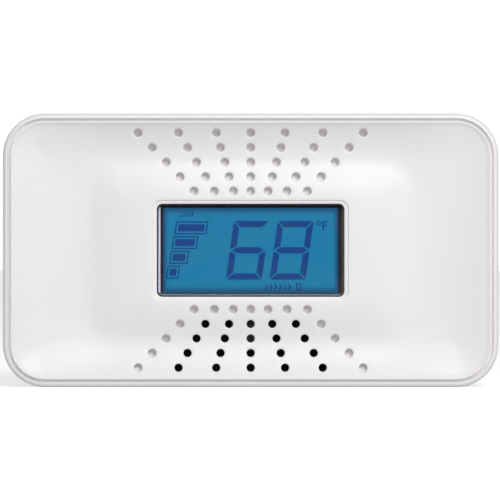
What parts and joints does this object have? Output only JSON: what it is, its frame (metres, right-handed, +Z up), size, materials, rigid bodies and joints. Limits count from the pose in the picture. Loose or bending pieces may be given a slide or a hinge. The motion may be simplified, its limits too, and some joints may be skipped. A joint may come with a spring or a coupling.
{
  "type": "carbon monoxide detector",
  "caption": "Table or wall carbon monoxide detector: white rounded box, dished front with a blue lit display and fans of small holes, test button on top, power slider and keyholes behind.",
  "frame": {"origin": "middle of the underside, on the surface the detector stands on", "axes": "+X to the right seen from the front, +Y from the front to the wall, +Z up"},
  "size_m": [0.124, 0.038, 0.0685],
  "materials": {
    "case_white": "satin white moulded ABS",
    "housing_white": "fine-grained white moulded ABS",
    "clear_lens": "clear glossy acrylic",
    "black_frame": "matt black moulding",
    "lcd_blue": "blue back-lit liquid crystal glass",
    "film": "milky diffusing film",
    "guide_clear": "clear acrylic block",
    "foil": "white mirror foil",
    "led": "yellow phosphor in a white body",
    "contact_rubber": "striped conducting rubber",
    "board_green": "green solder mask with copper tracks",
    "chip_black": "black moulding compound",
    "nickel": "nickel-plated steel",
    "chip_body": "tan ceramic with tinned ends",
    "capacitor_sleeve": "shrunk dark-blue sleeve",
    "ferrite": "dull grey ferrite",
    "copper": "varnished copper wire",
    "epoxy_bead": "black epoxy bead",
    "sounder_grey": "dark grey moulding",
    "brass": "rolled brass disc",
    "ceramic": "silvered white ceramic",
    "spring_brass": "tinned spring bronze",
    "sensor_plastic": "ivory moulding",
    "filter_black": "black carbon cloth",
    "cell_jacket": "grey shrink sleeve over steel",
    "cradle_plastic": "off-white moulding",
    "button_white": "satin white moulded ABS",
    "switch_grey": "dark grey moulding",
    "slider_red": "red moulding",
    "screw_steel": "zinc-plated steel",
    "label_silver": "matt silver film, blank"
  },
  "bodies": {
    "case": {"front_cover": "case_white", "rear_housing": "housing_white", "display_lens": "clear_lens", "lcd_frame": "black_frame", "lcd_glass": "lcd_blue", "diffuser_film": "film", "light_guide": "guide_clear", "reflector_foil": "foil", "backlight_leds": "led", "lcd_contacts": "contact_rubber", "main_board": "board_green", "microcontroller": "chip_black", "sounder_driver": "chip_black", "quartz_crystal": "nickel", "chip_parts": "chip_body", "capacitors": "capacitor_sleeve", "coil_core": "ferrite", "coil_winding": "copper", "thermistor": "epoxy_bead", "sounder_chamber": "sounder_grey", "sounder_disc": "brass", "sounder_ceramic": "ceramic", "sounder_ring": "sounder_grey", "sounder_contacts": "spring_brass", "sensor_can": "nickel", "sensor_base": "sensor_plastic", "sensor_filter": "filter_black", "battery_cells": "cell_jacket", "battery_cradle": "cradle_plastic", "battery_tabs": "nickel", "test_switch": "switch_grey", "power_switch": "switch_grey", "case_screws": "screw_steel", "board_screws": "screw_steel", "rating_label": "label_silver"},
    "button": {"test_button": "button_white"},
    "plunger": {"test_plunger": "chip_black"},
    "slider": {"power_slider": "slider_red"},
    "lever": {"power_lever": "cradle_plastic"}
  },
  "joints": [
    {"name": "test_press", "type": "slide", "parent": "case", "child": "button", "axis": [0, 0, -1], "range_m": [0, 0.0006], "stiffness_N_per_m": 1500, "springref_m": -0.0003},
    {"name": "plunger_press", "type": "slide", "parent": "case", "child": "plunger", "axis": [0, 0, -1], "range_m": [0, 0.0006]},
    {"name": "power_slide", "type": "slide", "parent": "case", "child": "slider", "axis": [1, 0, 0], "range_m": [0, 0.004]},
    {"name": "lever_slide", "type": "slide", "parent": "case", "child": "lever", "axis": [1, 0, 0], "range_m": [0, 0.004]}
  ],
  "couplings": [
    {"joint": "plunger_press", "follows": "test_press", "ratio": 1},
    {"joint": "lever_slide", "follows": "power_slide", "ratio": 1}
  ]
}
